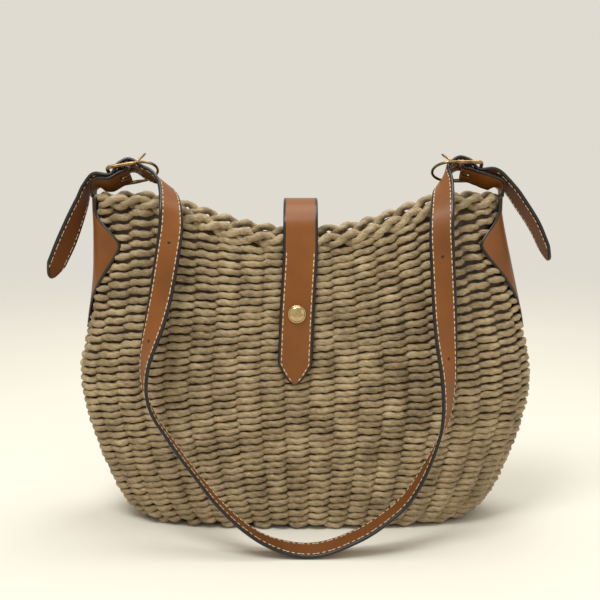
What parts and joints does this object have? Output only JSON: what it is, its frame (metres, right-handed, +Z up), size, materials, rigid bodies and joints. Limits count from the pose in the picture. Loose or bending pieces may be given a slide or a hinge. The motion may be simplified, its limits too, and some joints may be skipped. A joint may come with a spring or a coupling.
{
  "type": "hobo bag",
  "caption": "Woven straw hobo bag with leather shoulder strap, side buckles, and a snap closure tab over a dipped rim.",
  "frame": {"origin": "middle of the flat underside of the base, which rests on the table", "axes": "+X along the bag's width, -Y towards the snapped front, +Z up"},
  "size_m": [0.4218, 0.1578, 0.308],
  "materials": {
    "woven_body": "woven twisted straw rope",
    "rim_border": "braided straw rope",
    "lining": "plain cotton",
    "side_tab_left": "smooth, stitched",
    "side_tab_right": "smooth, stitched",
    "tab_chape_left": "smooth",
    "tab_chape_right": "smooth",
    "shoulder_strap": "smooth, painted edges, stitched",
    "strap_tail_left": "smooth, painted edges",
    "strap_tail_right": "smooth, painted edges",
    "tab_back": "smooth, stitched",
    "tab_over": "smooth, stitched",
    "tab_front": "smooth, stitched",
    "buckle_frame_left": "antique brass",
    "buckle_frame_right": "antique brass",
    "buckle_bar_left": "plated steel",
    "buckle_bar_right": "plated steel",
    "prong_left": "antique brass",
    "prong_right": "antique brass",
    "snap_cap": "polished",
    "snap_socket": "polished",
    "snap_stud": "polished",
    "snap_washer": "plain"
  },
  "bodies": {
    "bag": {"woven_body": "woven_body", "rim_border": "rim_border", "lining": "lining", "side_tab_left": "side_tab_left", "side_tab_right": "side_tab_right", "tab_back": "tab_back", "snap_stud": "snap_stud", "snap_washer": "snap_washer"},
    "tab_arch": {"tab_over": "tab_over"},
    "tab_flap": {"tab_front": "tab_front", "snap_cap": "snap_cap", "snap_socket": "snap_socket"},
    "handle": {"tab_chape_left": "tab_chape_left", "tab_chape_right": "tab_chape_right", "shoulder_strap": "shoulder_strap"},
    "buckle_left": {"buckle_frame_left": "buckle_frame_left", "buckle_bar_left": "buckle_bar_left"},
    "buckle_right": {"buckle_frame_right": "buckle_frame_right", "buckle_bar_right": "buckle_bar_right"},
    "pin_left": {"prong_left": "prong_left"},
    "pin_right": {"prong_right": "prong_right"},
    "tail_left": {"strap_tail_left": "strap_tail_left"},
    "tail_right": {"strap_tail_right": "strap_tail_right"}
  },
  "joints": [
    {"name": "tab_arch_lift", "type": "hinge", "parent": "bag", "child": "tab_arch", "pos_m": [0, 0.0358, 0.243], "axis": [-1, 0, 0], "range_deg": [0, 80]},
    {"name": "tab_flap_lift", "type": "hinge", "parent": "tab_arch", "child": "tab_flap", "pos_m": [0, -0.0358, 0.243], "axis": [-1, 0, 0], "range_deg": [0, 110]},
    {"name": "handle_swing", "type": "hinge", "parent": "bag", "child": "handle", "pos_m": [0, 0, 0.288], "axis": [-1, 0, 0], "range_deg": [0, 180]},
    {"name": "buckle_left_rock", "type": "hinge", "parent": "handle", "child": "buckle_left", "pos_m": [-0.1468, 0, 0.2908], "axis": [-0.1052, -0.7704, 0.6288], "range_deg": [-1.5, 1.5]},
    {"name": "buckle_right_rock", "type": "hinge", "parent": "handle", "child": "buckle_right", "pos_m": [0.1327, 0, 0.293], "axis": [0, 0.766, -0.6428], "range_deg": [-1.5, 1.5]},
    {"name": "prong_left_turn", "type": "hinge", "parent": "buckle_left", "child": "pin_left", "pos_m": [-0.1468, 0, 0.2908], "axis": [-0.1052, -0.7704, 0.6288], "range_deg": [-6, 4]},
    {"name": "prong_right_turn", "type": "hinge", "parent": "buckle_right", "child": "pin_right", "pos_m": [0.1327, 0, 0.293], "axis": [0, 0.766, -0.6428], "range_deg": [-6, 4]},
    {"name": "tail_left_lift", "type": "hinge", "parent": "handle", "child": "tail_left", "pos_m": [-0.15995, -0.00141, 0.28692], "axis": [0.1052, 0.7704, -0.6288], "range_deg": [0, 30]},
    {"name": "tail_right_lift", "type": "hinge", "parent": "handle", "child": "tail_right", "pos_m": [0.14628, -0.00174, 0.29101], "axis": [0, -0.766, 0.6428], "range_deg": [0, 30]}
  ]
}
